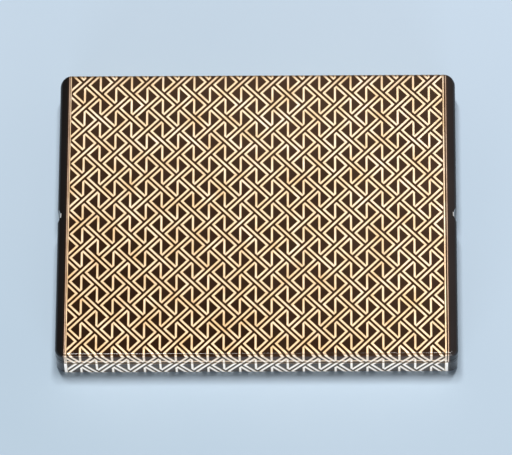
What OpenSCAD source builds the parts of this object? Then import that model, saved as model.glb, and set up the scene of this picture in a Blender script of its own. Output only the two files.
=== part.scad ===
// Flat hinged pocket case for cigarettes.
// Two drawn metal trays in a black lacquer coat, gilt rims at the seam, a
// seven-knuckle hinge along the back edge, and a push-piece in a thumb scallop
// half-way along each short end that lets the lid go when both are pinched.
// Origin: bottom centre of the closed case. +X along the hinge, -Y is the
// front, +Z up. Millimetres.

/* [Case] */
// Length of the case along the hinge
case_w = 112; // [100:1:130]
// Depth of the case from front wall to back wall
case_d = 87.4; // [76:0.2:100]
// Thickness of the closed case
case_t = 12; // [11.8:0.1:14]
// Height of the seam between base and lid
seam_z = 7.2; // [6.8:0.1:7.4]
// Plan radius of the four upright corners
corner_r = 3; // [2.8:0.1:3.2]
// Radius of the roll round the top edge
top_roll_r = 1.5; // [1.4:0.05:1.6]
// Radius of the roll round the bottom edge
bottom_roll_r = 1.3; // [1.2:0.05:1.4]

/* [Walls] */
// Thickness of the lacquer coat
coat_t = 0.35; // [0.3:0.01:0.4]
// Thickness of the metal shell
shell_t = 0.75; // [0.7:0.01:0.8]

/* [Rims] */
// Height of the lid's gilt bezel
lid_bezel_h = 0.8; // [0.6:0.05:1]
// Height of the base's gilt bezel
base_bezel_h = 0.5; // [0.4:0.05:0.6]
// How far the bezels stand proud of the lacquer
rim_proud = 0.12; // [0.05:0.01:0.2]
// Gap between the two bezels when shut
seam_gap = 0.1; // [0.06:0.01:0.14]
// Height of the inner lip above the seam
lip_h = 1.5; // [1:0.1:1.6]
// Thickness of the inner lip
lip_t = 0.5; // [0.4:0.05:0.6]
// Gap between the inner lip and the lid wall
lip_gap = 0.1; // [0.08:0.01:0.14]

/* [Hinge] */
// Outer radius of the hinge barrel
barrel_r = 1.3; // [1.2:0.05:1.4]
// Radius of the hinge pin
pin_r = 0.6; // [0.5:0.05:0.65]
// Running clearance of the lid's knuckles on the pin
pin_clear = 0.03; // [0.02:0.005:0.06]
// Number of knuckles in the barrel
knuckle_n = 7; // [5:2:9]
// Length of the whole barrel
hinge_len = 98; // [84:1:98]
// Distance of the hinge axis behind the back wall
axis_out = 0.1; // [0.08:0.01:0.15]

/* [Latch] */
// Radius of the thumb scallop in each short end
scallop_r = 3.4; // [3.2:0.1:4]
// Depth of the thumb scallop
scallop_depth = 0.8; // [0.7:0.05:0.85]
// Radius of the push-piece head
push_head_r = 1.3; // [1.2:0.05:1.4]
// Radius of the push-piece stem
push_stem_r = 0.6; // [0.5:0.05:0.65]
// Thickness of the latch leaf springs
leaf_t = 0.35; // [0.3:0.01:0.4]

/* [Bands] */
// Width of the elastic bands
band_w = 7; // [6:0.5:8]
// Thickness of the elastic bands
band_t = 0.5; // [0.4:0.05:0.6]
// Distance of each band from the middle of the case
band_y = 22; // [21:0.5:24]

/* [Hidden] */

black = [0.08, 0.06, 0.055];
gilt = [0.86, 0.7, 0.42];
steel = [0.78, 0.79, 0.8];
tape = [0.2, 0.16, 0.13];

wall = coat_t + shell_t;
hx = case_w / 2;
hy = case_d / 2;
wx = hx - corner_r;
wy = hy - corner_r;
xi = hx - wall;
half_gap = seam_gap / 2;
lid_wall_z = seam_z + half_gap + lid_bezel_h;
base_wall_z = seam_z - half_gap - base_bezel_h;
// the barrel stands behind the back wall, so the case is set forward by half
// of that to keep the origin in the middle
y_shift = -(axis_out + barrel_r - rim_proud) / 2;
axis_y = hy + axis_out;
strip_t = 1.7;
strip_h = 2.2;
strip_len = hinge_len + 0.2;
knuckle_l = hinge_len / knuckle_n;
cove = 0.12;
arc_n = 6;

// latch stations
push_z = 4.6;
scallop_x = hx - scallop_depth + scallop_r;
floor_x = hx - scallop_depth;            // lacquer face at the scallop's middle
bulge_x = floor_x - coat_t - shell_t;    // inner face of the pressed-in wall
bush_r = 1.7;
bush_in = bulge_x - 1.1;
collar_t = 0.35;
leaf_x = bush_in - 0.05 - collar_t - 0.05; // outer face of the leaf spring
leaf_z0 = push_z - 1.2;
leaf_z1 = push_z + 1.2;
leaf_y0 = -14;
leaf_y1 = 8.5;
block_y1 = -9.5;
finger_y0 = 5.5;
nose_out = 0.65;
nose_z0 = seam_z + 1.9;
nose_z1 = seam_z + 2.7;
ledge_z0 = seam_z + 1;
ledge_z1 = seam_z + 1.8;
catch_rivet_z = seam_z + 2.45;
rivet_r = 0.4;

// points along an arc
function arc(cx, cy, r, a0, a1) =
    [for (i = [0:arc_n]) let (a = a0 + (a1 - a0) * i / arc_n)
        [cx + r * cos(a), cy + r * sin(a)]];
// section of a lid wall: flat top, roll, upright wall
function cap_section(rx, rr, t, z0, z1) = concat([[0, z1]],
    arc(rx - rr, z1 - rr, rr, 90, 0), [[rx, z0], [rx - t, z0]],
    arc(rx - rr, z1 - rr, rr - t, 0, 90), [[0, z1 - t]]);
// section of a base wall: flat bottom, roll, upright wall
function tray_section(rx, rr, t, z0, z1) = concat([[0, z0]],
    arc(rx - rr, z0 + rr, rr, -90, 0), [[rx, z1], [rx - t, z1]],
    arc(rx - rr, z0 + rr, rr - t, 0, -90), [[0, z0 + t]]);
// the same outlines filled inwards
function cap_fill(rx, rr, z0, z1) = concat([[0, z0], [0, z1]],
    arc(rx - rr, z1 - rr, rr, 90, 0), [[rx, z0]]);
function tray_fill(rx, rr, z0, z1) = concat([[0, z1], [0, z0]],
    arc(rx - rr, z0 + rr, rr, -90, 0), [[rx, z1]]);

// sweeps a section round the rounded rectangle of the plan
module around() {
    for (c = [[wx, wy, 0], [-wx, wy, 90], [-wx, -wy, 180], [wx, -wy, 270]])
        translate([c[0], c[1], 0]) rotate([0, 0, c[2]])
            rotate_extrude(angle = 90, $fn = 64) children();
    for (a = [0, 180]) rotate([0, 0, a]) translate([wx, wy, 0])
        rotate([90, 0, 0]) linear_extrude(2 * wy) children();
    for (a = [90, 270]) rotate([0, 0, a]) translate([wy, wx, 0])
        rotate([90, 0, 0]) linear_extrude(2 * wx) children();
}
// flat plate inside the swept wall
module plate(z, t) { translate([-wx, -wy, z]) cube([2 * wx, 2 * wy, t]); }
// a short length of filled wall at the middle of each short end
module end_blocks(pts) {
    for (a = [0, 180]) rotate([0, 0, a]) translate([wx, 6, 0])
        rotate([90, 0, 0]) linear_extrude(12) polygon(pts);
}
// upright cylinders of the two thumb scallops, grown by g
module scallops(g) {
    for (s = [-1, 1]) translate([s * scallop_x, 0, -1])
        cylinder(r = scallop_r + g, h = case_t + 2, $fn = 128);
}
// the bezels are flush at the back, where lid and base meet when wide open
module behind_back_wall() {
    translate([-hx - 1, hy, 0]) cube([case_w + 2, 2, case_t]);
}
// everything sits in the case's own frame
module in_frame() { translate([0, y_shift, 0]) children(); }
// right-hand pieces are drawn once, left-hand ones are their mirror image
module both_ends() { children(); mirror([1, 0, 0]) children(); }
module x_cyl(r, x0, x1, y, z) {
    translate([x0, y, z]) rotate([0, 90, 0]) cylinder(r = r, h = x1 - x0, $fn = 48);
}
module x_turned(y, z, pts) {
    translate([0, y, z]) rotate([0, 90, 0]) rotate_extrude($fn = 48) polygon(pts);
}
function knuckle_x(i) = -hinge_len / 2 + i * knuckle_l;

// ---- lid ------------------------------------------------------------------
module lid_hinge_room() {
    translate([-strip_len / 2, hy - strip_t, seam_z - 1])
        cube([strip_len, strip_t + 2, 1 + strip_h]);
}
module lid_coat() {
    color(black) in_frame() difference() {
        union() {
            difference() {
                union() {
                    around() polygon(cap_section(corner_r, top_roll_r, coat_t, lid_wall_z, case_t));
                    plate(case_t - coat_t, coat_t);
                }
                scallops(0);
            }
            intersection() {
                end_blocks(cap_fill(corner_r, top_roll_r, lid_wall_z, case_t));
                difference() { scallops(coat_t); scallops(0); }
            }
        }
        lid_hinge_room();
    }
}
module lid_shell() {
    color(gilt) in_frame() difference() {
        union() {
            around() polygon(cap_section(corner_r - coat_t, top_roll_r - coat_t, shell_t,
                lid_wall_z, case_t - coat_t));
            plate(case_t - wall, shell_t);
            intersection() {
                end_blocks(cap_fill(corner_r - coat_t, top_roll_r - coat_t,
                    lid_wall_z, case_t - coat_t));
                scallops(wall);
            }
        }
        scallops(coat_t);
        lid_hinge_room();
    }
}
module lid_bezel() {
    color(gilt) in_frame() difference() {
        around() translate([corner_r - wall, seam_z + half_gap])
            square([wall + rim_proud, lid_bezel_h]);
        scallops(0);
        lid_hinge_room();
        behind_back_wall();
    }
}
module lid_hinge_strip() {
    color(gilt) in_frame() difference() {
        union() {
            translate([-strip_len / 2, hy - strip_t, seam_z + half_gap])
                cube([strip_len, strip_t, strip_h - half_gap]);
            for (i = [1:2:knuckle_n - 1])
                x_cyl(barrel_r, knuckle_x(i) + 0.05, knuckle_x(i + 1) - 0.05, axis_y, seam_z);
        }
        for (i = [0:2:knuckle_n])
            x_cyl(barrel_r + cove, knuckle_x(i) - (i == 0 ? 1 : 0.05),
                knuckle_x(i + 1) + (i == knuckle_n - 1 ? 1 : 0.05), axis_y, seam_z);
        x_cyl(pin_r + pin_clear, -hx, hx, axis_y, seam_z);
    }
}
module catch_plate() {
    translate([0, y_shift, 0]) difference() {
        union() {
            translate([xi - 0.5, 4.2, lid_wall_z]) cube([0.5, 5.6, 2.3]);
            translate([leaf_x + 0.2, 5, ledge_z0])
                cube([xi - 0.5 - leaf_x - 0.2, 4, ledge_z1 - ledge_z0]);
        }
        for (y = [5, 9]) x_cyl(rivet_r - 0.05, xi - 2, xi + 1, y, catch_rivet_z);
    }
}
module right_catch_plate() { color(steel) catch_plate(); }
module left_catch_plate() { color(steel) mirror([1, 0, 0]) catch_plate(); }
module catch_rivets() {
    color(gilt) both_ends() for (y = [5, 9])
        x_turned(y + y_shift, catch_rivet_z, [[0, xi], [rivet_r - 0.05, xi],
            [rivet_r - 0.05, xi - 0.5], [0.6, xi - 0.5], [0.55, xi - 0.65],
            [0.35, xi - 0.75], [0, xi - 0.78]]);
}

// ---- base -----------------------------------------------------------------
module base_hinge_room() {
    translate([-strip_len / 2, hy - strip_t, seam_z - strip_h])
        cube([strip_len, strip_t + 2, 1 + strip_h]);
}
module push_holes(r) {
    both_ends() x_cyl(r, xi - 3, hx + 1, 0, push_z);
}
module base_coat() {
    color(black) in_frame() difference() {
        union() {
            difference() {
                union() {
                    around() polygon(tray_section(corner_r, bottom_roll_r, coat_t, 0, base_wall_z));
                    plate(0, coat_t);
                }
                scallops(0);
            }
            intersection() {
                end_blocks(tray_fill(corner_r, bottom_roll_r, 0, base_wall_z));
                difference() { scallops(coat_t); scallops(0); }
            }
        }
        base_hinge_room();
        push_holes(push_head_r + 0.15);
    }
}
module base_shell() {
    color(gilt) in_frame() difference() {
        union() {
            around() polygon(tray_section(corner_r - coat_t, bottom_roll_r - coat_t, shell_t,
                coat_t, base_wall_z));
            plate(coat_t, shell_t);
            intersection() {
                end_blocks(tray_fill(corner_r - coat_t, bottom_roll_r - coat_t,
                    coat_t, base_wall_z));
                scallops(wall);
            }
        }
        scallops(coat_t);
        base_hinge_room();
        push_holes(bush_r);
    }
}
module base_bezel() {
    color(gilt) in_frame() difference() {
        around() translate([corner_r - wall, base_wall_z])
            square([wall + rim_proud, base_bezel_h]);
        scallops(0);
        base_hinge_room();
        behind_back_wall();
    }
}
module base_lip() {
    x1 = corner_r - wall;
    color(gilt) in_frame() difference() {
        around() polygon([[x1 - lip_gap - lip_t, 4], [x1, 4], [x1, seam_z - half_gap],
            [x1 - lip_gap, seam_z - half_gap], [x1 - lip_gap, seam_z + lip_h],
            [x1 - lip_gap - lip_t, seam_z + lip_h]]);
        // open along the hinge, round the latches and at the band ends
        translate([-hx, hy - 4, 0]) cube([case_w, 6, case_t]);
        translate([-hx, -18, 0]) cube([case_w, 29, case_t]);
        for (s = [-1, 1]) translate([-hx, s * band_y - band_w / 2 - 1, 0])
            cube([case_w, band_w + 2, case_t]);
    }
}
module base_hinge_strip() {
    color(gilt) in_frame() difference() {
        union() {
            translate([-strip_len / 2, hy - strip_t, seam_z - strip_h])
                cube([strip_len, strip_t, strip_h - half_gap]);
            for (i = [0:2:knuckle_n])
                x_cyl(barrel_r, knuckle_x(i) + 0.05, knuckle_x(i + 1) - 0.05, axis_y, seam_z);
        }
        for (i = [1:2:knuckle_n - 1])
            x_cyl(barrel_r + cove, knuckle_x(i) - 0.05, knuckle_x(i + 1) + 0.05, axis_y, seam_z);
        x_cyl(pin_r, -hx, hx, axis_y, seam_z);
    }
}
module hinge_pin() {
    color(steel) in_frame()
        x_cyl(pin_r, -hinge_len / 2 + 0.05, hinge_len / 2 - 0.05, axis_y, seam_z);
}
// leaf with a finger that rises past the seam and a nose over the lid's catch
module latch_spring() {
    translate([0, y_shift, 0]) difference() {
        union() {
            translate([leaf_x - leaf_t, leaf_y0, leaf_z0])
                cube([leaf_t, leaf_y1 - leaf_y0, leaf_z1 - leaf_z0]);
            translate([leaf_x - leaf_t, finger_y0, leaf_z1])
                cube([leaf_t, leaf_y1 - finger_y0, nose_z1 - leaf_z1]);
            translate([leaf_x, leaf_y1, 0]) rotate([90, 0, 0])
                linear_extrude(leaf_y1 - finger_y0)
                    polygon([[0, nose_z0], [nose_out, nose_z0], [nose_out, nose_z0 + 0.2],
                        [0, nose_z1]]);
        }
        for (y = [-12.9, -10.6]) x_cyl(rivet_r, leaf_x - 2, xi, y, push_z);
    }
}
module right_latch_spring() { color(steel) latch_spring(); }
module left_latch_spring() { color(steel) mirror([1, 0, 0]) latch_spring(); }
module latch_spring_blocks() {
    color(gilt) in_frame() both_ends() difference() {
        translate([leaf_x, leaf_y0, leaf_z0])
            cube([xi - leaf_x, block_y1 - leaf_y0, leaf_z1 - leaf_z0]);
        for (y = [-12.9, -10.6]) x_cyl(rivet_r, leaf_x - 2, xi + 1, y, push_z);
    }
}
module latch_rivets() {
    x0 = leaf_x - leaf_t;
    color(gilt) both_ends() for (y = [-12.9, -10.6])
        x_turned(y + y_shift, push_z, [[0, xi], [rivet_r, xi], [rivet_r, x0],
            [0.8, x0], [0.75, x0 - 0.15], [0.45, x0 - 0.28], [0, x0 - 0.32]]);
}
module push_bushes() {
    color(steel) in_frame() both_ends() difference() {
        x_cyl(bush_r, bush_in, floor_x - coat_t, 0, push_z);
        x_cyl(push_stem_r + pin_clear, bush_in - 1, hx, 0, push_z);
    }
}
module elastic_band(y) {
    z1 = seam_z - 0.5;
    translate([0, y + band_w / 2 + y_shift, 0]) rotate([90, 0, 0]) difference() {
        linear_extrude(band_w) polygon([[-xi, 3.2], [-xi + band_t, 3.2],
            [-xi + band_t, z1 - band_t], [xi - band_t, z1 - band_t],
            [xi - band_t, 3.2], [xi, 3.2], [xi, z1], [-xi, z1]]);
        for (z = [band_w / 2 - 1.6, band_w / 2 + 1.6]) translate([-hx, 4.3, z])
            rotate([0, 90, 0]) cylinder(r = rivet_r, h = case_w, $fn = 48);
    }
}
module front_elastic_band() { color(tape) elastic_band(-band_y); }
module rear_elastic_band() { color(tape) elastic_band(band_y); }
module band_clamps() {
    color(gilt) in_frame() both_ends() for (s = [-1, 1]) difference() {
        translate([xi - band_t - 0.5, s * band_y - 3.8, 3.3]) cube([0.5, 7.6, 2]);
        for (d = [-1.6, 1.6]) x_cyl(rivet_r, xi - 3, xi + 1, s * band_y + d, 4.3);
    }
}
module band_rivets() {
    x0 = xi - band_t - 0.5;
    color(gilt) both_ends() for (s = [-1, 1], d = [-1.6, 1.6])
        x_turned(s * band_y + d + y_shift, 4.3, [[0, xi], [rivet_r, xi], [rivet_r, x0],
            [0.8, x0], [0.75, x0 - 0.15], [0.45, x0 - 0.28], [0, x0 - 0.32]]);
}

// ---- push-pieces ----------------------------------------------------------
module push_piece() {
    h0 = floor_x + 0.4;
    x_turned(y_shift, push_z, [[0, bush_in - 0.05 - collar_t], [1, bush_in - 0.05 - collar_t],
        [1, bush_in - 0.05], [push_stem_r, bush_in - 0.05], [push_stem_r, h0],
        [push_head_r, h0], [push_head_r, h0 + 0.2], [push_head_r - 0.2, h0 + 0.38],
        [push_head_r - 0.6, h0 + 0.47], [0, h0 + 0.5]]);
}
module right_push_piece() { color(steel) push_piece(); }
module left_push_piece() { color(steel) mirror([1, 0, 0]) push_piece(); }

lid_shell();
lid_coat();
lid_bezel();
lid_hinge_strip();
left_catch_plate();
right_catch_plate();
catch_rivets();
base_shell();
base_coat();
base_bezel();
base_lip();
base_hinge_strip();
hinge_pin();
left_latch_spring();
right_latch_spring();
latch_spring_blocks();
latch_rivets();
push_bushes();
front_elastic_band();
rear_elastic_band();
band_clamps();
band_rivets();
left_push_piece();
right_push_piece();
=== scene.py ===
"""Looks of the hinged pocket case: lacquer coats, gold trellis, gilt inside, springs and bands.

Lengths in the tables below are millimetres, in the case's own frame before the small shift
in y that centres the whole box. Z is up, -Y is the front, +X runs along the hinge.
"""

import math

import bmesh
import bpy
from mathutils import Matrix, Vector


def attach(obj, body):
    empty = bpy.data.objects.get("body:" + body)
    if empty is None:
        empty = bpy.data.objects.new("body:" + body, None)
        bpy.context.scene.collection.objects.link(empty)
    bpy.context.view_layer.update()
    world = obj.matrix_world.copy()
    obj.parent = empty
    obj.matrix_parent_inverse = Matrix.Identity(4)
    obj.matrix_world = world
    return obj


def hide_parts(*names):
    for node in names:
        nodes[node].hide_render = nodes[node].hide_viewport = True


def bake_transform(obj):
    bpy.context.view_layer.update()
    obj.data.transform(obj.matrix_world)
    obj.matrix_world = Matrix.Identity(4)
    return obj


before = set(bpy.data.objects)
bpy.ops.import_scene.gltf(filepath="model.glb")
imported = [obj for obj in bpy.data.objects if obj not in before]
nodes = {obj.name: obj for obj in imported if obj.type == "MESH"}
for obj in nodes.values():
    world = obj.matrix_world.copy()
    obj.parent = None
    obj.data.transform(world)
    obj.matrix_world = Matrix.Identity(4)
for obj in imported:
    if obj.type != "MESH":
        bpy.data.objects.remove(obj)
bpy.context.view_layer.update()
scene = bpy.context.scene

MM = 0.001
Y_SHIFT = -0.64

# ------------------------------------------------------------------ sizes
HX, HY = 56.0, 43.65          # half length, half depth of the lacquer face
TOP, BOTTOM = 11.95, 0.05     # flat faces of the two coats, under the raised lines
CORNER = 3.0                  # corner radius in plan
FRONT_RIGHT = 2.2             # the front right corner is squarer than the other three
LID_ROLL, BASE_ROLL = 0.9, 1.3
END_ROLL = 2.0                # the lid is rounder along its short ends
COAT = 0.28
LID_EDGE, BASE_EDGE = 8.60, 6.45      # where the coats meet the gold rims
LID_ROOM, BASE_ROOM = 9.4, 5.0        # where the coats end above and below the hinge
ROOM_X = 49.1
SCALLOP_X, SCALLOP_R = 58.6, 3.4
PUSH_Z = 4.6

# trellis
CW, CH = 8.858, 7.311         # one cell across and along
LINE = 0.35                   # half width of a strip
GAP = 0.52                    # dark space between a strip and the tips that point at it
BEND_U, BEND_V, TIP_V = 0.355, 0.0615, 0.374     # corners of the bent strips, in cells
PHASE = 0.3495                # where the first upright bar has its middle, in cells
BORDER = 0.25                 # half width of the line along each side of the trellis
SIDE = 6 * CW - 0.37          # middle of that line
ASIDE = -0.2                  # the whole trellis sits a little to the left
# lines along the left and right side, measured outwards from that middle
LID_SIDE = {-1: ((-0.30, 0.08), (0.15, 0.47)), 1: ((-BORDER, BORDER), (0.55, 0.85))}
BASE_SIDE = {-1: ((-BORDER, 0.60),), 1: ((-BORDER, 0.65),)}
LINE_TOP, LINE_EDGE, LINE_FOOT = 0.05, 0.012, -0.03
CHAMFER = 0.09


# ------------------------------------------------------------------ mesh helpers
def place(p):
    return Vector((p[0] * MM, (p[1] + Y_SHIFT) * MM, p[2] * MM))


def as_object(name, bm, material, sharp_deg=30.0):
    """Turns a bmesh whose points are final metres into a smooth-shaded object."""
    bmesh.ops.recalc_face_normals(bm, faces=bm.faces[:])
    for f in bm.faces:
        f.smooth = True
    limit = math.radians(sharp_deg)
    for e in bm.edges:
        e.smooth = len(e.link_faces) == 2 and e.calc_face_angle(0.0) < limit
    mesh = bpy.data.meshes.new(name)
    bm.to_mesh(mesh)
    bm.free()
    obj = bpy.data.objects.new(name, mesh)
    scene.collection.objects.link(obj)
    mesh.materials.append(material)
    return obj


def from_rows(columns, closed_around, cap_rows=()):
    """Joins columns of points into a skin. Each column is a closed loop of points."""
    bm = bmesh.new()
    grid = [[bm.verts.new(place(p)) for p in col] for col in columns]
    n = len(grid)
    rows = len(grid[0])
    last = n if closed_around else n - 1
    for i in range(last):
        a, b = grid[i], grid[(i + 1) % n]
        for j in range(rows):
            k = (j + 1) % rows
            bm.faces.new((a[j], b[j], b[k], a[k]))
    if not closed_around:
        bm.faces.new(list(reversed(grid[0])))
        bm.faces.new(grid[-1])
    return bm, grid


# ------------------------------------------------------------------ outline of the case
def scallop(y):
    """How far the thumb hollow in a short end cuts in at this y; negative outside it."""
    if abs(y) >= SCALLOP_R:
        return -9.0
    return HX - SCALLOP_X + math.sqrt(SCALLOP_R ** 2 - y * y)


def outline(corner_steps=14):
    """Points round the case, anticlockwise, as (x, y, nx, ny, cut)."""
    wx, wy = HX - CORNER, HY - CORNER
    hollow = math.sqrt(SCALLOP_R ** 2 - (SCALLOP_X - HX) ** 2)
    ys = [-wy, -24.0, -10.0, -hollow - 0.5]
    ys += [-hollow + 2 * hollow * i / 24 for i in range(25)]
    ys += [hollow + 0.5, 10.0, 24.0, wy]
    xs = [wx, ROOM_X, ROOM_X, 30.0, 10.0, -10.0, -30.0, -ROOM_X, -ROOM_X, -wx]
    pts = []

    def corner(cx, cy, start, r=CORNER):
        for i in range(1, corner_steps):
            a = math.radians(start + 90.0 * i / corner_steps)
            pts.append((cx + r * math.cos(a), cy + r * math.sin(a), math.cos(a), math.sin(a), 0.0))

    for y in [FRONT_RIGHT - HY] + ys[1:]:
        pts.append((HX, y, 1.0, 0.0, max(0.0, scallop(y))))
    corner(wx, wy, 0)
    for x in xs:
        pts.append((x, HY, 0.0, 1.0, 0.0))
    corner(-wx, wy, 90)
    for y in reversed(ys):
        pts.append((-HX, y, -1.0, 0.0, max(0.0, scallop(y))))
    corner(-wx, -wy, 180)
    for x in (-wx, -30.0, -10.0, 10.0, 30.0, wx, HX - FRONT_RIGHT):
        pts.append((x, -HY, 0.0, -1.0, 0.0))
    corner(HX - FRONT_RIGHT, FRONT_RIGHT - HY, 270, FRONT_RIGHT)
    return pts


def in_room(i, pts):
    """True for the outline points that lie behind the hinge."""
    x, y, nx, ny, cut = pts[i]
    if ny < 0.999 or abs(x) > ROOM_X + 1e-6:
        return False
    if abs(abs(x) - ROOM_X) > 1e-6:
        return True
    before = pts[i - 1][0] if x > 0 else pts[(i + 1) % len(pts)][0]
    return abs(abs(before) - ROOM_X) < 1e-6


def coat(name, flat, edge, room, roll, end_roll, side, material, steps=12, worn=None):
    """A lacquer coat: wall, rolled edge and flat face, with its own thickness.

    worn gives the heights between which the thumb hollows are rubbed down to the metal."""
    pts = outline()
    columns = []
    for i, (x, y, nx, ny, cut) in enumerate(pts):
        start = room if in_room(i, pts) else edge
        turn = roll + (end_roll - roll) * nx * nx

        def at(inset, z):
            return (x - nx * inset, y - ny * inset, z)

        def skin(t):
            r = turn - t
            c0 = math.acos(max(-1.0, min(1.0, (turn - cut - t) / r)))
            z0 = flat - side * (turn - r * math.sin(c0))
            rows = [at(cut + t, start), at(cut + t, room), at(cut + t, z0 - side * 0.12)]
            for k in range(steps + 1):
                c = c0 + (math.pi / 2 - c0) * k / steps
                rows.append(at(turn - r * math.cos(c), flat - side * (turn - r * math.sin(c))))
            rows.append(at(turn + 0.15, flat - side * t))
            return rows

        columns.append((skin(0.0), skin(COAT)))
    bm = bmesh.new()
    n = len(columns)
    outer = [[bm.verts.new(place(p)) for p in c[0]] for c in columns]
    inner = [[bm.verts.new(place(p)) for p in c[1]] for c in columns]
    rows = len(outer[0])
    for i in range(n):
        k = (i + 1) % n
        for j in range(rows - 1):
            bm.faces.new((outer[i][j], outer[k][j], outer[k][j + 1], outer[i][j + 1]))
            bm.faces.new((inner[k][j], inner[i][j], inner[i][j + 1], inner[k][j + 1]))
        bm.faces.new((outer[k][0], outer[i][0], inner[i][0], inner[k][0]))
    bm.faces.new([c[-1] for c in outer])
    bm.faces.new([c[-1] for c in reversed(inner)])
    bmesh.ops.remove_doubles(bm, verts=bm.verts[:], dist=1e-7)
    if worn:
        for f in bm.faces:
            c = f.calc_center_median() / MM
            if abs(c.x) > HX - 1.6 and abs(c.y - Y_SHIFT + 0.25) < 0.62 and worn[0] < c.z < worn[1]:
                f.material_index = 1
    obj = as_object(name, bm, material, 24.0)
    if worn:
        obj.data.materials.append(bare_metal)
    return obj


def cut_away(obj, cutters, sharp_deg=24.0):
    """Subtracts meshes from obj and keeps its smooth shading."""
    for c in cutters:
        m = obj.modifiers.new("cut", "BOOLEAN")
        m.operation = "DIFFERENCE"
        m.solver = "EXACT"
        m.object = c
    dg = bpy.context.evaluated_depsgraph_get()
    result = bpy.data.meshes.new_from_object(obj.evaluated_get(dg))
    obj.modifiers.clear()
    old = obj.data
    obj.data = result
    bpy.data.meshes.remove(old)
    for c in cutters:
        bpy.data.objects.remove(c)
    bm = bmesh.new()
    bm.from_mesh(result)
    bmesh.ops.dissolve_degenerate(bm, dist=1e-7, edges=bm.edges[:])
    limit = math.radians(sharp_deg)
    for f in bm.faces:
        f.smooth = True
        f.material_index = 0
    for e in bm.edges:
        e.smooth = len(e.link_faces) == 2 and e.calc_face_angle(0.0) < limit
    bm.to_mesh(result)
    bm.free()


def rod_x(name, x0, x1, y, z, r, steps=40):
    """A plain round cutter along x."""
    bm = bmesh.new()
    ring = [(y + r * math.cos(2 * math.pi * i / steps), z + r * math.sin(2 * math.pi * i / steps)) for i in range(steps)]
    a = [bm.verts.new(place((x0, p[0], p[1]))) for p in ring]
    b = [bm.verts.new(place((x1, p[0], p[1]))) for p in ring]
    for i in range(steps):
        k = (i + 1) % steps
        bm.faces.new((a[i], a[k], b[k], b[i]))
    bm.faces.new(list(reversed(a)))
    bm.faces.new(b)
    bmesh.ops.recalc_face_normals(bm, faces=bm.faces[:])
    mesh = bpy.data.meshes.new(name)
    bm.to_mesh(mesh)
    bm.free()
    obj = bpy.data.objects.new(name, mesh)
    scene.collection.objects.link(obj)
    return obj


# ------------------------------------------------------------------ gold rims
def rim(name, seam, edge, dark, material, black):
    """One rim: gilt along the front, lacquered round the ends, darkened with painted shade where it meets its partner.
    """
    pts = outline(corner_steps=16)
    first = max(i for i, p in enumerate(pts) if p[3] > 0.999 and p[0] < 0 and abs(p[0] + ROOM_X) < 1e-6)
    order = [pts[(first + i) % len(pts)] for i in range(len(pts))]
    keep = [p for p in order if not (p[3] > 0.999 and abs(p[0]) < ROOM_X - 1e-6)]
    # the two doubled points at the hinge ends are used once each, and the gap for the hinge stays open
    path = []
    for p in keep:
        if any(abs(q[0] - p[0]) + abs(q[1] - p[1]) < 1e-6 for q in path[:1] + path[-1:]):
            continue
        path.append(p)
    proud, face, soft = 0.02, 1.02, 0.06
    up = 1.0 if edge > seam else -1.0
    columns = []
    for x, y, nx, ny, cut in path:
        hollow = scallop(y) if abs(nx) > 0.999 else -9.0
        out = max(-proud, hollow)
        ring = [(face, seam), (out + 0.12, seam)]
        for k in range(4):
            a = math.radians(30 * k)
            ring.append((out + soft - soft * math.sin(a), seam + up * (soft - soft * math.cos(a))))
        ring += [(out, seam + up * dark), (out, edge - up * 0.06), (out + 0.02, edge - up * 0.015), (out + 0.06, edge), (face, edge)]
        columns.append([(x - nx * d, min(y - ny * d, HY + 0.05), z) for d, z in ring])
    bm, grid = from_rows(columns, False)
    lay = (6, 7, 8)
    n = len(columns[0])
    for i in range(len(grid) - 1):
        front = max(path[i][3], path[i + 1][3]) < -0.95 and max(abs(path[i][0]), abs(path[i + 1][0])) < HX - CORNER + 0.4
        for j in range(n):
            face_ij = next(f for f in grid[i][j].link_faces if grid[i + 1][j] in f.verts and grid[i][(j + 1) % n] in f.verts)
            # slot 1 is the painted seam shade: the faces next to the seam along the front, and the seam and edge faces
            # round the ends
            if front:
                face_ij.material_index = 0 if j in lay else 1
            else:
                face_ij.material_index = 2 if 0 < j < n - 2 else 1
    obj = as_object(name, bm, material, 35.0)
    obj.data.materials.append(seam_painted_shade)
    obj.data.materials.append(black)
    return obj


# ------------------------------------------------------------------ trellis
def clip(poly, px, py, nx, ny):
    """The part of a convex polygon on the side of the line that n points to."""
    out = []
    for i in range(len(poly)):
        a, b = poly[i], poly[(i + 1) % len(poly)]
        da = (a[0] - px) * nx + (a[1] - py) * ny
        db = (b[0] - px) * nx + (b[1] - py) * ny
        if da >= 0:
            out.append(a)
        if (da > 0 and db < 0) or (da < 0 and db > 0):
            s = da / (da - db)
            out.append((a[0] + (b[0] - a[0]) * s, a[1] + (b[1] - a[1]) * s))
    return out


def unit(a, b):
    dx, dy = b[0] - a[0], b[1] - a[1]
    n = math.hypot(dx, dy)
    return dx / n, dy / n


def bar(p, q, p_other, q_other, own=()):
    """A strip from p to q, mitred with its neighbours; own holds further cutting lines."""
    d = unit(p, q)
    ex = 1.6
    w = (-d[1] * LINE, d[0] * LINE)
    a = (p[0] - d[0] * ex, p[1] - d[1] * ex)
    b = (q[0] + d[0] * ex, q[1] + d[1] * ex)
    poly = [(a[0] + w[0], a[1] + w[1]), (a[0] - w[0], a[1] - w[1]), (b[0] - w[0], b[1] - w[1]), (b[0] + w[0], b[1] + w[1])]
    for at, far, other in ((p, q, p_other), (q, p, q_other)):
        d1, d2 = unit(at, far), unit(at, other)
        poly = clip(poly, at[0], at[1], d1[0] - d2[0], d1[1] - d2[1])
    for line in own:
        poly = clip(poly, *line)
    return poly


def tip(at, one, two, reach):
    """A cutting line that blunts the outer tip of a mitre."""
    d1, d2 = unit(at, one), unit(at, two)
    ox, oy = -(d1[0] + d2[0]), -(d1[1] + d2[1])
    n = math.hypot(ox, oy)
    ox, oy = ox / n, oy / n
    return at[0] + ox * reach, at[1] + oy * reach, -ox, -oy


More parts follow.
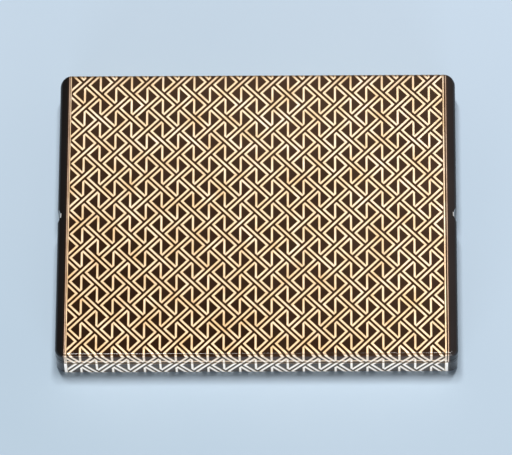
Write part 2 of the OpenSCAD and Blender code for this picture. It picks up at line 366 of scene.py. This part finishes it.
def wire(x, mid, s):
    """One repeat of a bent strip about the bar whose middle is (x, mid); s = -1 mirrors it."""
    def at(u, v):
        return x + u * CW, mid + v * CH * s

    left, right = at(-BEND_U, BEND_V), at(BEND_U, -BEND_V)
    high, low = at(0, -TIP_V), at(0, TIP_V)
    left_next, high_next = at(-BEND_U, BEND_V - 1), at(0, -TIP_V - 1)
    right_last = at(BEND_U, 1 - BEND_V)
    t = unit(right, left_next)
    n = (-t[1], t[0])
    above, below = at(0, -0.5), at(0, 0.5)
    k = 1.0 if (high[0] - above[0]) * n[0] + (high[1] - above[1]) * n[1] > 0 else -1.0
    n = (n[0] * k, n[1] * k)
    room = LINE + GAP
    end_high = (above[0] + n[0] * room, above[1] + n[1] * room, n[0], n[1])
    end_low = (below[0] - n[0] * room, below[1] - n[1] * room, -n[0], -n[1])
    blunt = 0.60
    tip_left = tip(left, high, right_last, blunt)
    tip_right = tip(right, low, left_next, blunt)
    tip_next = tip(left_next, high_next, right, blunt)
    return [
        bar(left, high, right_last, low, (end_high, tip_left)),
        bar(high, low, left, right, (end_high, end_low)),
        bar(low, right, high, left_next, (end_low, tip_right)),
        bar(right, left_next, low, high_next, (tip_right, tip_next)),
    ]


def trellis_faces(t0, t1, side):
    """All strips between the two path lengths t0 and t1 (mm along the wrapped face)."""
    found = []
    m0, m1 = int(math.floor(t0 / CH)) - 2, int(math.ceil(t1 / CH)) + 2
    edge = SIDE - BORDER
    for m in range(m0, m1 + 1):
        for c in range(-6, 7):
            pieces = wire(c * CW, (PHASE + m) * CH, 1)
            if c == -6:
                pieces = [clip(p, -edge, 0, 1, 0) for p in (pieces[2], pieces[3])]
            elif c == 6:
                pieces = [clip(p, edge, 0, -1, 0) for p in (pieces[0], pieces[3])]
            found += pieces
        for c in range(-6, 6):
            found += wire((c + 0.5) * CW, (PHASE + 0.5 + m) * CH, -1)
    for s in (-1, 1):
        for a, b in side[s]:
            a, b = (SIDE + a) * s, (SIDE + b) * s
            lo, hi = min(a, b), max(a, b)
            found.append([(lo, t0), (hi, t0), (hi, t1), (lo, t1)])
    kept = []
    for p in found:
        p = clip(p, 0, t0, 0, 1)
        p = clip(p, 0, t1, 0, -1) if len(p) > 2 else p
        if len(p) > 2:
            area = abs(sum(p[i][0] * p[(i + 1) % len(p)][1] - p[(i + 1) % len(p)][0] * p[i][1] for i in range(len(p)))) / 2
            if area > 0.004:
                kept.append(p)
    return kept


def round_corner(x, y, roll):
    """Moves a point of the wall or of the rolled edge in where the case's corner begins."""
    r = FRONT_RIGHT if x > 0 and y < 0 else CORNER
    over = abs(x) - (HX - r)
    inset = HY - abs(y)
    if over <= 0 or inset >= roll + 1e-6:
        return y
    near = HY - r + math.sqrt(max(0.0, (r - inset) ** 2 - over * over))
    return math.copysign(near, y)


def trellis(name, t0, t1, folds, shape, roll, side, material):
    """Raised gold strips: flat pattern, thickened with a chamfer, cut at the folds and wrapped."""
    bm = bmesh.new()
    for p in trellis_faces(t0, t1, side):
        bm.faces.new([bm.verts.new((q[0], q[1], LINE_FOOT)) for q in p])
    bmesh.ops.remove_doubles(bm, verts=bm.verts[:], dist=2e-4)
    bmesh.ops.dissolve_degenerate(bm, dist=2e-4, edges=bm.edges[:])
    bmesh.ops.recalc_face_normals(bm, faces=bm.faces[:])
    for f in bm.faces:
        if f.normal.z < 0:
            f.normal_flip()
    made = bmesh.ops.extrude_face_region(bm, geom=bm.faces[:], use_keep_orig=True)
    top = [g for g in made["geom"] if isinstance(g, bmesh.types.BMFace)]
    for v in {v for f in top for v in f.verts}:
        v.co.z = LINE_EDGE
    bmesh.ops.inset_region(bm, faces=top, thickness=CHAMFER, depth=0.0, use_boundary=True, use_even_offset=True)
    for v in {v for f in top for v in f.verts}:
        v.co.z = LINE_TOP
    for t in folds:
        if t0 < t < t1:
            bmesh.ops.bisect_plane(bm, geom=bm.verts[:] + bm.edges[:] + bm.faces[:], dist=1e-5, plane_co=(0, t, 0), plane_no=(0, 1, 0))
    for f in bm.faces:
        mid = f.calc_center_median()
        outer = mid.x < -SIDE - 0.11 or mid.x > SIDE + 0.4
        f.material_index = 1 if outer else 2 if mid.z < LINE_TOP - 1e-4 else 0
    for v in bm.verts:
        y, z, ny, nz = shape(v.co.y)
        x = v.co.x + ASIDE
        y = round_corner(x, y, roll)
        v.co = place((x, y + ny * v.co.z, z + nz * v.co.z))
    obj = as_object(name, bm, material, 12.0)
    # slot 1: the outer side lines, in the darker gold on the lid
    obj.data.materials.append(outer_line_gold if roll == LID_ROLL else material)
    # slot 2: the chamfers, in the painted-shade gold
    obj.data.materials.append(shaded_bevel_gold)
    return obj


WALL = 0.0912 * CH            # path length per mm of wall height
FOLD = 0.1253 * CH            # path length round the lid's rolled edge


def lid_path():
    """Path along the lid from the back wall over the top to the front wall."""
    front, back = HY - LID_ROLL, -(HY - LID_ROLL)
    t_front = front - 0.0587 * CH
    t_back = back - 0.0587 * CH
    arc = FOLD

    def shape(t):
        if t < t_back - arc:
            return HY, TOP - LID_ROLL - (t_back - arc - t) / WALL, 1.0, 0.0
        if t < t_back:
            a = (t_back - t) / arc * math.pi / 2
            return HY - LID_ROLL + LID_ROLL * math.sin(a), TOP - LID_ROLL + LID_ROLL * math.cos(a), math.sin(a), math.cos(a)
        if t <= t_front:
            return -(t + 0.0587 * CH), TOP, 0.0, 1.0
        if t <= t_front + arc:
            a = (t - t_front) / arc * math.pi / 2
            return -(HY - LID_ROLL) - LID_ROLL * math.sin(a), TOP - LID_ROLL + LID_ROLL * math.cos(a), -math.sin(a), math.cos(a)
        return -HY, TOP - LID_ROLL - (t - t_front - arc) / WALL, -1.0, 0.0

    start = t_back - arc - (TOP - LID_ROLL - LID_ROOM - 0.02) * WALL
    end = t_front + arc + (TOP - LID_ROLL - 7.32) * WALL
    folds = [t_front + arc * k / 8 for k in range(9)] + [t_back - arc * k / 8 for k in range(9)]
    return start, end, folds, shape


def base_path():
    """Path along the base: down the front wall, under the bottom and up the back wall."""
    t_lid = HY - LID_ROLL - 0.0587 * CH + FOLD

    def wall_t(z):
        return t_lid + (TOP - LID_ROLL - z) * WALL

    t_roll = wall_t(BOTTOM + BASE_ROLL)
    arc = 0.216 * CH
    flat = 2 * (HY - BASE_ROLL)
    t_under, t_far = t_roll + arc, t_roll + arc + flat

    def shape(t):
        if t < t_roll:
            return -HY, TOP - LID_ROLL - (t - t_lid) / WALL, -1.0, 0.0
        if t < t_under:
            a = (t - t_roll) / arc * math.pi / 2
            return -(HY - BASE_ROLL) - BASE_ROLL * math.cos(a), BOTTOM + BASE_ROLL - BASE_ROLL * math.sin(a), -math.cos(a), -math.sin(a)
        if t <= t_far:
            return -(HY - BASE_ROLL) + (t - t_under), BOTTOM, 0.0, -1.0
        if t <= t_far + arc:
            a = (t - t_far) / arc * math.pi / 2
            return HY - BASE_ROLL + BASE_ROLL * math.sin(a), BOTTOM + BASE_ROLL - BASE_ROLL * math.cos(a), math.sin(a), -math.cos(a)
        return HY, BOTTOM + BASE_ROLL + (t - t_far - arc) / WALL, 1.0, 0.0

    start = wall_t(7.08)
    end = t_far + arc + (BASE_ROOM - 0.02 - BOTTOM - BASE_ROLL) * WALL
    folds = [t_roll + arc * k / 8 for k in range(9)] + [t_far + arc * k / 8 for k in range(9)]
    return start, end, folds, shape


# ------------------------------------------------------------------ materials
def new_material(name):
    m = bpy.data.materials.new(name)
    m.use_nodes = True
    tree = m.node_tree
    return m, tree, tree.nodes["Principled BSDF"]


def add(tree, kind, **values):
    n = tree.nodes.new(kind)
    for k, v in values.items():
        if k in n.inputs:
            n.inputs[k].default_value = v
        else:
            setattr(n, k, v)
    return n


def coords(tree, stretch=(1.0, 1.0, 1.0)):
    tc = add(tree, "ShaderNodeTexCoord")
    mp = add(tree, "ShaderNodeMapping")
    mp.inputs["Scale"].default_value = stretch
    tree.links.new(tc.outputs["Object"], mp.inputs["Vector"])
    return mp.outputs["Vector"]


def noise(tree, where, scale, detail=4.0, rough=0.55):
    n = add(tree, "ShaderNodeTexNoise")
    n.inputs["Scale"].default_value = scale
    n.inputs["Detail"].default_value = detail
    n.inputs["Roughness"].default_value = rough
    tree.links.new(where, n.inputs["Vector"])
    return n.outputs["Fac"]


def ramp(tree, value, stops):
    r = add(tree, "ShaderNodeValToRGB")
    e = r.color_ramp.elements
    e[0].position, e[0].color = stops[0][0], (*stops[0][1], 1.0)
    e[1].position, e[1].color = stops[-1][0], (*stops[-1][1], 1.0)
    for pos, col in stops[1:-1]:
        x = e.new(pos)
        x.color = (*col, 1.0)
    tree.links.new(value, r.inputs["Fac"])
    return r.outputs["Color"]


def span(tree, value, lo, hi, a, b):
    m = add(tree, "ShaderNodeMapRange")
    m.inputs["From Min"].default_value = lo
    m.inputs["From Max"].default_value = hi
    m.inputs["To Min"].default_value = a
    m.inputs["To Max"].default_value = b
    tree.links.new(value, m.inputs["Value"])
    return m.outputs["Result"]


def bump(tree, shader, height, strength, distance):
    b = add(tree, "ShaderNodeBump")
    b.inputs["Strength"].default_value = strength
    b.inputs["Distance"].default_value = distance
    tree.links.new(height, b.inputs["Height"])
    tree.links.new(b.outputs["Normal"], shader.inputs["Normal"])
    return b


def blend_values(tree, a, b, op="ADD"):
    m = add(tree, "ShaderNodeMath")
    m.operation = op
    tree.links.new(a, m.inputs[0])
    tree.links.new(b, m.inputs[1])
    return m.outputs["Value"]


def axis(tree, name, shift=0.0, size=False):
    """One of the object's own coordinates in metres, shifted, and without its sign if size is set."""
    tc = add(tree, "ShaderNodeTexCoord")
    xyz = add(tree, "ShaderNodeSeparateXYZ")
    tree.links.new(tc.outputs["Object"], xyz.inputs["Vector"])
    value = xyz.outputs[name]
    if shift:
        m = add(tree, "ShaderNodeMath")
        m.operation = "ADD"
        m.inputs[1].default_value = shift
        tree.links.new(value, m.inputs[0])
        value = m.outputs["Value"]
    if size:
        m = add(tree, "ShaderNodeMath")
        m.operation = "ABSOLUTE"
        tree.links.new(value, m.inputs[0])
        value = m.outputs["Value"]
    return value


def across(tree, share):
    """Grows from the front left to the back right: Y plus a share of X, in metres."""
    m = add(tree, "ShaderNodeMath")
    m.operation = "MULTIPLY_ADD"
    m.inputs[1].default_value = share
    tree.links.new(axis(tree, "X"), m.inputs[0])
    tree.links.new(axis(tree, "Y"), m.inputs[2])
    return m.outputs["Value"]


def mixed(tree, factor, a, b):
    """Colour a where factor is 0, b where it is 1; each is a socket or a colour."""
    m = add(tree, "ShaderNodeMix")
    m.data_type = "RGBA"
    tree.links.new(factor, m.inputs[0])
    for i, c in ((6, a), (7, b)):
        if isinstance(c, tuple):
            m.inputs[i].default_value = (*c, 1.0)
        else:
            tree.links.new(c, m.inputs[i])
    return m.outputs[2]


def make_lacquer(name, gloss, near_tones, far_tones, left_tones, right_tones, wall_tones):
    m, t, s = new_material(name)
    where = coords(t)
    cloud = noise(t, where, 34.0, 5.0)
    # painted light: the lacquer between the strips is painted lighter from the front left to the back right (the base
    # passes one tone for both)
    near = ramp(t, cloud, list(zip((0.32, 0.68), near_tones)))
    far = ramp(t, cloud, list(zip((0.32, 0.68), far_tones)))
    ground = mixed(t, span(t, across(t, 0.5), -0.045, 0.045, 0.0, 1.0), near, far)
    # painted light: the plain ends are painted lighter on the right end than on the left
    left = ramp(t, cloud, list(zip((0.32, 0.68), left_tones)))
    right = ramp(t, cloud, list(zip((0.32, 0.68), right_tones)))
    plain = mixed(t, span(t, axis(t, "X"), -0.045, 0.045, 0.0, 1.0), left, right)
    # painted shade: below the rolled edge the plain ends and corners are painted darker, against the front lamps (the
    # base's plain ends take these tones throughout)
    wall = ramp(t, cloud, list(zip((0.32, 0.68), wall_tones)))
    plain = mixed(t, span(t, axis(t, "Z"), 0.0108, 0.0115, 0.0, 1.0), wall, plain)
    ends = span(t, axis(t, "X", size=True), 0.0532, 0.0540, 0.0, 1.0)
    t.links.new(mixed(t, ends, ground, plain), s.inputs["Base Color"])
    smudge = noise(t, where, 120.0, 6.0, 0.62)
    hair = noise(t, coords(t, (1.0, 14.0, 14.0)), 420.0, 3.0)
    wear = blend_values(t, smudge, hair, "MULTIPLY")
    t.links.new(span(t, wear, 0.15, 0.42, 0.10, 0.20), s.inputs["Roughness"])
    s.inputs["Specular IOR Level"].default_value = 0.02
    s.inputs["IOR"].default_value = 1.5
    s.inputs["Coat Weight"].default_value = gloss
    s.inputs["Coat IOR"].default_value = 1.5
    s.inputs["Coat Roughness"].default_value = 0.05
    bump(t, s, noise(t, where, 260.0, 4.0), 0.05, 0.00004)
    return m


def edge_wear_and_shade(tree):
    """1 on the rolled edges along the front and back, 0 on the flat faces and walls."""
    out = span(tree, axis(tree, "Y", -Y_SHIFT * MM, True), 0.0425, 0.0432, 0.0, 1.0)
    high = span(tree, axis(tree, "Z"), 0.0104, 0.0111, 0.0, 1.0)
    low = span(tree, axis(tree, "Z"), 0.0014, 0.0006, 0.0, 1.0)
    return blend_values(tree, out, blend_values(tree, high, low, "MAXIMUM"), "MULTIPLY")


FRONT_LEFT_SHADE_TINT = (0.84, 0.765, 0.64)     # painted shade: how much darker and yellower the gold is painted towards the front left, where the lamps fall off


def make_trellis_gold(name, dark, middle, light, wall, worn_and_shaded_tone):
    m, t, s = new_material(name)
    where = coords(t)
    tone = noise(t, where, 160.0, 5.0)
    colour = ramp(t, tone, [(0.30, dark), (0.52, middle), (0.72, light)])
    # painted shade: the gold turns darker and yellower from the back right to the front left
    shaded_front_left = ramp(t, tone, [(0.30, tuple(c * k for c, k in zip(dark, FRONT_LEFT_SHADE_TINT))), (0.72, tuple(c * k for c, k in zip(light, FRONT_LEFT_SHADE_TINT)))])
    colour = mixed(t, span(t, across(t, 0.4), 0.030, -0.040, 0.0, 1.0), colour, shaded_front_left)
    # the rolled edges are darkened in mottled patches: partly wear, partly painted shade where the edges turn from the
    # lamps
    worn = blend_values(t, edge_wear_and_shade(t), noise(t, where, 300.0, 4.0), "MULTIPLY")
    colour = mixed(t, worn, colour, worn_and_shaded_tone)
    # painted reflection: the strips on the front walls are painted paler and whiter, more so lower down, standing in
    # for the white glare they pick up
    upright = span(t, axis(t, "Y", -Y_SHIFT * MM), -0.0430, -0.0435, 0.0, 1.0)
    low = span(t, axis(t, "Z"), 0.0112, 0.0082, 0.45, 1.0)
    warmer = tuple(c * k for c, k in zip(wall, (1.0, 0.93, 0.85)))
    pale = mixed(t, span(t, axis(t, "Z"), 0.0074, 0.0062, 0.0, 1.0), warmer, wall)
    colour = mixed(t, blend_values(t, upright, low, "MULTIPLY"), colour, pale)
    t.links.new(colour, s.inputs["Base Color"])
    s.inputs["Metallic"].default_value = 0.45
    grain = noise(t, where, 900.0, 5.0, 0.6)
    t.links.new(span(t, grain, 0.3, 0.7, 0.40, 0.52), s.inputs["Roughness"])
    s.inputs["Coat Weight"].default_value = 0.6
    s.inputs["Coat Roughness"].default_value = 0.12
    bump(t, s, noise(t, where, 2400.0, 3.0), 0.12, 0.00003)
    return m


# Painted shade for the seam: a dark brown, half-metal finish on the rim faces at the gap between lid and base.
def make_painted_seam_material():
    m, t, s = new_material("seam_painted_shade")
    where = coords(t)
    t.links.new(ramp(t, noise(t, where, 500.0, 5.0), [(0.3, (0.035, 0.020, 0.010)), (0.7, (0.11, 0.065, 0.030))]), s.inputs["Base Color"])
    s.inputs["Metallic"].default_value = 0.4
    t.links.new(span(t, noise(t, where, 1500.0, 4.0), 0.3, 0.7, 0.5, 0.75), s.inputs["Roughness"])
    bump(t, s, noise(t, where, 2500.0, 4.0), 0.2, 0.00003)
    return m


def make_gilt(name, dark, light, stretch, rough, fine=700.0, depth=0.10):
    m, t, s = new_material(name)
    where = coords(t)
    tone = noise(t, where, 38.0, 5.0)
    t.links.new(ramp(t, tone, [(0.3, dark), (0.7, light)]), s.inputs["Base Color"])
    s.inputs["Metallic"].default_value = 1.0
    lines = noise(t, coords(t, stretch), fine, 4.0, 0.6)
    t.links.new(span(t, lines, 0.3, 0.7, rough[0], rough[1]), s.inputs["Roughness"])
    bump(t, s, lines, depth, 0.00003)
    return m


def make_steel(name, tone, stretch, rough):
    m, t, s = new_material(name)
    cloud = noise(t, coords(t), 90.0, 4.0)
    lo = tuple(c * 0.86 for c in tone)
    t.links.new(ramp(t, cloud, [(0.3, lo), (0.7, tone)]), s.inputs["Base Color"])
    s.inputs["Metallic"].default_value = 1.0
    lines = noise(t, coords(t, stretch), 1500.0, 4.0, 0.6)
    t.links.new(span(t, lines, 0.3, 0.7, rough[0], rough[1]), s.inputs["Roughness"])
    bump(t, s, lines, 0.08, 0.00002)
    return m


def make_tape():
    m, t, s = new_material("elastic_weave")
    where = coords(t)
    across = add(t, "ShaderNodeTexWave")
    across.wave_type, across.bands_direction = "BANDS", "X"
    across.inputs["Scale"].default_value = 560.0
    across.inputs["Distortion"].default_value = 0.6
    across.inputs["Detail"].default_value = 1.0
    t.links.new(where, across.inputs["Vector"])
    along = add(t, "ShaderNodeTexWave")
    along.wave_type, along.bands_direction = "BANDS", "Y"
    along.inputs["Scale"].default_value = 430.0
    along.inputs["Distortion"].default_value = 0.4
    t.links.new(where, along.inputs["Vector"])
    weave = blend_values(t, across.outputs["Fac"], along.outputs["Fac"], "MULTIPLY")
    t.links.new(ramp(t, weave, [(0.05, (0.030, 0.020, 0.013)), (0.8, (0.105, 0.074, 0.050))]), s.inputs["Base Color"])
    t.links.new(span(t, noise(t, where, 800.0, 4.0), 0.3, 0.7, 0.66, 0.86), s.inputs["Roughness"])
    s.inputs["Sheen Weight"].default_value = 0.25
    s.inputs["Sheen Roughness"].default_value = 0.5
    bump(t, s, weave, 0.5, 0.00008)
    return m


lid_black = make_lacquer("lid_lacquer_black", 0.38,
                         ((0.024, 0.0102, 0.0040), (0.036, 0.0162, 0.0070)), ((0.054, 0.0298, 0.0172), (0.072, 0.0404, 0.0250)),
                         ((0.0085, 0.0070, 0.0066), (0.0125, 0.0105, 0.0100)), ((0.024, 0.0190, 0.0180), (0.034, 0.0275, 0.0262)),
                         ((0.0045, 0.0042, 0.0045), (0.0070, 0.0066, 0.0070)))
base_black = make_lacquer("base_lacquer_black", 0.5,
                          ((0.050, 0.044, 0.040), (0.066, 0.058, 0.054)), ((0.050, 0.044, 0.040), (0.066, 0.058, 0.054)),
                          ((0.034, 0.034, 0.036), (0.048, 0.048, 0.050)), ((0.034, 0.034, 0.036), (0.048, 0.048, 0.050)),
                          ((0.018, 0.018, 0.020), (0.027, 0.027, 0.029)))
trellis_gold = make_trellis_gold("trellis_gold", (0.615, 0.420, 0.225), (0.73, 0.545, 0.362), (0.81, 0.655, 0.525),
                                 (0.98, 0.89, 0.81), (0.34, 0.22, 0.10))
# a darker, browner gold for the outer side lines of the lid trellis
outer_line_gold = make_trellis_gold("trellis_gold_outer_lines", (0.36, 0.22, 0.15), (0.46, 0.31, 0.22), (0.54, 0.39, 0.29),
                              (0.74, 0.62, 0.54), (0.26, 0.16, 0.09))
# painted shade: the chamfers round each strip are a much darker copy of the trellis gold, for the shade along the
# strip edges
shaded_bevel_gold = make_trellis_gold("trellis_gold_bevel_painted_shade", (0.17, 0.086, 0.016), (0.21, 0.112, 0.024), (0.26, 0.145, 0.040),
                               (0.60, 0.45, 0.28), (0.20, 0.11, 0.03))
seam_painted_shade = make_painted_seam_material()
rim_gold = make_gilt("rim_gold", (0.88, 0.60, 0.38), (0.96, 0.72, 0.52), (1.0, 1.0, 6.0), (0.34, 0.48))
gilt_inside = make_gilt("gilt_inside", (0.80, 0.59, 0.29), (0.90, 0.71, 0.41), (0.10, 6.0, 6.0), (0.28, 0.34), 1600.0, 0.012)
gilt_fitting = make_gilt("gilt_fitting", (0.76, 0.54, 0.25), (0.88, 0.68, 0.37), (1.0, 8.0, 8.0), (0.18, 0.32), 1200.0)
brushed_steel = make_steel("brushed_spring_steel", (0.66, 0.67, 0.68), (12.0, 1.0, 12.0), (0.22, 0.40))
polished_steel = make_steel("polished_steel", (0.84, 0.85, 0.86), (1.0, 6.0, 6.0), (0.08, 0.18))
elastic = make_tape()
bare_metal = make_steel("worn_metal", (0.96, 0.95, 0.93), (1.0, 4.0, 4.0), (0.62, 0.80))

# ------------------------------------------------------------------ coats, rims, trellis
lid_coat = coat("lid_lacquer", TOP, LID_EDGE, LID_ROOM, LID_ROLL, END_ROLL, 1, lid_black, worn=(10.6, 11.7))
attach(lid_coat, "lid")
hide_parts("lid_coat")

base_coat = coat("base_lacquer", BOTTOM, BASE_EDGE, BASE_ROOM, BASE_ROLL, BASE_ROLL, -1, base_black)
cut_away(base_coat, [rod_x("hole_right", 52.0, 58.0, 0.0, PUSH_Z, 1.45), rod_x("hole_left", -58.0, -52.0, 0.0, PUSH_Z, 1.45)])
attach(base_coat, "base")
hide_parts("base_coat")

lid_rim = rim("lid_rim", 7.25, LID_EDGE, 0.78, rim_gold, lid_black)
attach(lid_rim, "lid")
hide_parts("lid_bezel")

base_rim = rim("base_rim", 7.15, BASE_EDGE, 0.60, rim_gold, base_black)
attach(base_rim, "base")
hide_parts("base_bezel")

lid_lines = trellis("lid_trellis", *lid_path(), LID_ROLL, LID_SIDE, trellis_gold)
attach(lid_lines, "lid")

base_lines = trellis("base_trellis", *base_path(), BASE_ROLL, BASE_SIDE, trellis_gold)
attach(base_lines, "base")

# ------------------------------------------------------------------ latch springs
def latch_spring(name, side, node):
    """A flat leaf spring with an upright finger and a hooked nose; the real spring bends as its push-piece is pressed,
    here it is made in its resting shape.
    """
    x0, x1 = 52.2, 52.55
    z_leaf, z_nose = (3.4, 4.6, 5.8), (5.8, 7.0, 8.1, 9.1, 9.3, 9.9)
    ys = [-14.0 + 19.5 * i / 20 for i in range(21)] + [6.5, 7.5, 8.5]
    bm = bmesh.new()
    grid = {}

    def vert(y, z):
        key = (round(y, 4), round(z, 4))
        if key not in grid:
            grid[key] = bm.verts.new((x0, y, z))
        return grid[key]

    def cells(ya, zs):
        for a, b in zip(ya, ya[1:]):
            for c, d in zip(zs, zs[1:]):
                bm.faces.new((vert(a, c), vert(b, c), vert(b, d), vert(a, d)))

    cells(ys, z_leaf)
    cells([y for y in ys if y >= 5.5 - 1e-6], z_nose)
    made = bmesh.ops.extrude_face_region(bm, geom=bm.faces[:], use_keep_orig=True)
    outer = [g for g in made["geom"] if isinstance(g, bmesh.types.BMFace)]
    for v in {v for f in outer for v in f.verts}:
        v.co.x = x1
    tongue = [f for f in outer if f.calc_center_median().z > 9.1]
    made = bmesh.ops.extrude_face_region(bm, geom=tongue)
    for v in [g for g in made["geom"] if isinstance(g, bmesh.types.BMVert)]:
        v.co.x = x1 + (0.65 if v.co.z < 9.5 else 0.05)
    bmesh.ops.recalc_face_normals(bm, faces=bm.faces[:])
    corners = [e for e in bm.edges if abs(e.verts[0].co.x - e.verts[1].co.x) > 0.3
               and (round(e.verts[0].co.y, 3), round(e.verts[0].co.z, 3)) in {(-14.0, 3.4), (-14.0, 5.8), (8.5, 3.4)}]
    bmesh.ops.bevel(bm, geom=corners, offset=0.6, segments=5, profile=0.5, affect="EDGES")
    sharp = [e for e in bm.edges if e.calc_face_angle(0.0) > math.radians(40)]
    bmesh.ops.bevel(bm, geom=sharp, offset=0.05, segments=2, profile=0.5, affect="EDGES")
    for v in bm.verts:
        v.co = place((v.co.x * side, v.co.y, v.co.z))
    obj = as_object(name, bm, brushed_steel, 35.0)
    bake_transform(obj)
    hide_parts(node)
    return obj


latch_spring("right_leaf_spring", 1, "right_latch_spring")
latch_spring("left_leaf_spring", -1, "left_latch_spring")


# ------------------------------------------------------------------ elastic bands
def elastic_band(name, y_mid, node):
    """Ribbed elastic tape across the base, its ends turned down inside the walls."""
    half, thick, ribs = 3.5, 0.25, 9
    path = []
    for i in range(5):
        path.append((-54.65, 3.2 + 3.0 * i / 4, -1.0, 0.0))
    for i in range(1, 6):
        a = math.radians(90 * i / 6)
        path.append((-54.4 - 0.25 * math.cos(a), 6.2 + 0.25 * math.sin(a), -math.cos(a), math.sin(a)))
    run = 72
    for i in range(run + 1):
        path.append((-54.4 + 108.8 * i / run, 6.45, 0.0, 1.0))
    path += [(-x, z, -nx, nz) for x, z, nx, nz in reversed(path[:10])]
    across = 72
    ring = []
    for i in range(across + 1):
        u = -1 + 2 * i / across
        edge = math.sqrt(max(0.0, 1 - max(0.0, (abs(u) - 0.93) / 0.07) ** 2))
        rib = 0.035 * (0.5 - 0.5 * math.cos(2 * math.pi * ribs * (u + 1) / 2))
        ring.append((u * half, (thick - 0.035 + rib) * max(edge, 0.12)))
    profile = ring + [(y, -h) for y, h in reversed(ring)]
    columns = []
    for x, z, nx, nz in path:
        columns.append([(x + nx * h, y_mid + y, z + nz * h) for y, h in profile])
    bm, grid = from_rows(columns, False)
    obj = as_object(name, bm, elastic, 50.0)
    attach(obj, "base")
    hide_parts(node)
    return obj


elastic_band("front_tape", -22.0, "front_elastic_band")
elastic_band("rear_tape", 22.0, "rear_elastic_band")

# ------------------------------------------------------------------ finishes of the other pieces
FINISH = {
    "lid_shell": gilt_inside, "base_shell": gilt_inside, "base_lip": gilt_inside,
    "lid_hinge_strip": gilt_fitting, "base_hinge_strip": gilt_fitting,
    "latch_spring_blocks": gilt_fitting, "latch_rivets": gilt_fitting, "catch_rivets": gilt_fitting,
    "band_clamps": gilt_fitting, "band_rivets": gilt_fitting,
    "left_catch_plate": brushed_steel, "right_catch_plate": brushed_steel,
    "left_latch_spring": brushed_steel, "right_latch_spring": brushed_steel,
    "hinge_pin": brushed_steel,
    "push_bushes": polished_steel, "left_push_piece": polished_steel, "right_push_piece": polished_steel,
    "front_elastic_band": elastic, "rear_elastic_band": elastic,
}
for name, material in FINISH.items():
    mesh = nodes[name].data
    mesh.materials.clear()
    mesh.materials.append(material)

# ------------------------------------------------------------------ floor, light, camera
def floor_plane():
    m, t, s = new_material("pale_floor")
    cloud = noise(t, coords(t), 9.0, 3.0)
    # painted light: the floor is painted lighter towards the back right, for the lamps' uneven spread
    near = ramp(t, cloud, [(0.3, (0.462, 0.586, 0.710)), (0.7, (0.486, 0.604, 0.724))])
    far = ramp(t, cloud, [(0.3, (0.568, 0.690, 0.832)), (0.7, (0.588, 0.706, 0.846))])
    t.links.new(mixed(t, span(t, across(t, 0.45), -0.09, 0.11, 0.0, 1.0), near, far), s.inputs["Base Color"])
    s.inputs["Roughness"].default_value = 0.85
    s.inputs["Specular IOR Level"].default_value = 0.15
    bm = bmesh.new()
    bmesh.ops.create_grid(bm, x_segments=8, y_segments=8, size=1.5)
    mesh = bpy.data.meshes.new("floor")
    bm.to_mesh(mesh)
    bm.free()
    obj = bpy.data.objects.new("floor", mesh)
    scene.collection.objects.link(obj)
    mesh.materials.append(m)


floor_plane()


def softbox(name, at, aim, size, power, colour):
    data = bpy.data.lights.new(name, "AREA")
    data.shape = "RECTANGLE"
    data.size, data.size_y = size
    data.energy = power
    data.color = colour
    obj = bpy.data.objects.new(name, data)
    obj.location = at
    obj.rotation_euler = (Vector(aim) - Vector(at)).to_track_quat("-Z", "Y").to_euler()
    scene.collection.objects.link(obj)
    return obj


world = bpy.data.worlds.new("studio")
world.use_nodes = True
scene.world = world
sky = world.node_tree.nodes["Background"]
sky.inputs["Color"].default_value = (1.0, 0.99, 0.97, 1.0)
sky.inputs["Strength"].default_value = 0.07
WARM, COOL = (1.0, 0.985, 0.96), (0.90, 0.95, 1.0)
softbox("over_left", (-0.27, 0.55, 3.0), (-0.02, 0.0, 0), (0.16, 0.95), 44.5, WARM)
softbox("over_right", (0.27, 0.55, 3.0), (0.02, 0.0, 0), (0.16, 0.95), 44.5, WARM)
softbox("front_left", (-0.80, -2.00, 0.15), (-0.80, 0, 0.02), (1.15, 0.26), 29.5, COOL)
softbox("front_right", (0.72, -2.00, 0.15), (0.72, 0, 0.02), (1.15, 0.26), 29.5, COOL)

# camera: long lens, raised 65 degrees, turned and rolled a little
elev, turn, roll, dist, focal = math.radians(64.6), -0.0435269, -0.0433338, 1524.63, 5436.0
off_x, off_y = 0.92, 14.159
ahead = Vector((math.sin(turn) * math.cos(elev), math.cos(turn) * math.cos(elev), -math.sin(elev)))
right = ahead.cross(Vector((0, 0, 1))).normalized()
up = right.cross(ahead)
right, up = math.cos(roll) * right + math.sin(roll) * up, -math.sin(roll) * right + math.cos(roll) * up
eye = -ahead * dist + Vector((0.0, Y_SHIFT, 12.0))
ahead = (right * -off_x + up * -off_y + ahead * focal).normalized()
right = (right - ahead * right.dot(ahead)).normalized()
up = right.cross(ahead)
lens = bpy.data.cameras.new("camera")
lens.sensor_fit = "HORIZONTAL"
lens.sensor_width = 36.0
lens.lens = focal * 36.0 / 512.0
lens.clip_start, lens.clip_end = 0.01, 20.0
camera = bpy.data.objects.new("camera", lens)
scene.collection.objects.link(camera)
pose = Matrix((right, up, -ahead)).transposed().to_4x4()
pose.translation = eye * MM
camera.matrix_world = pose
scene.camera = camera

scene.view_settings.view_transform = "Standard"
scene.view_settings.look = "None"
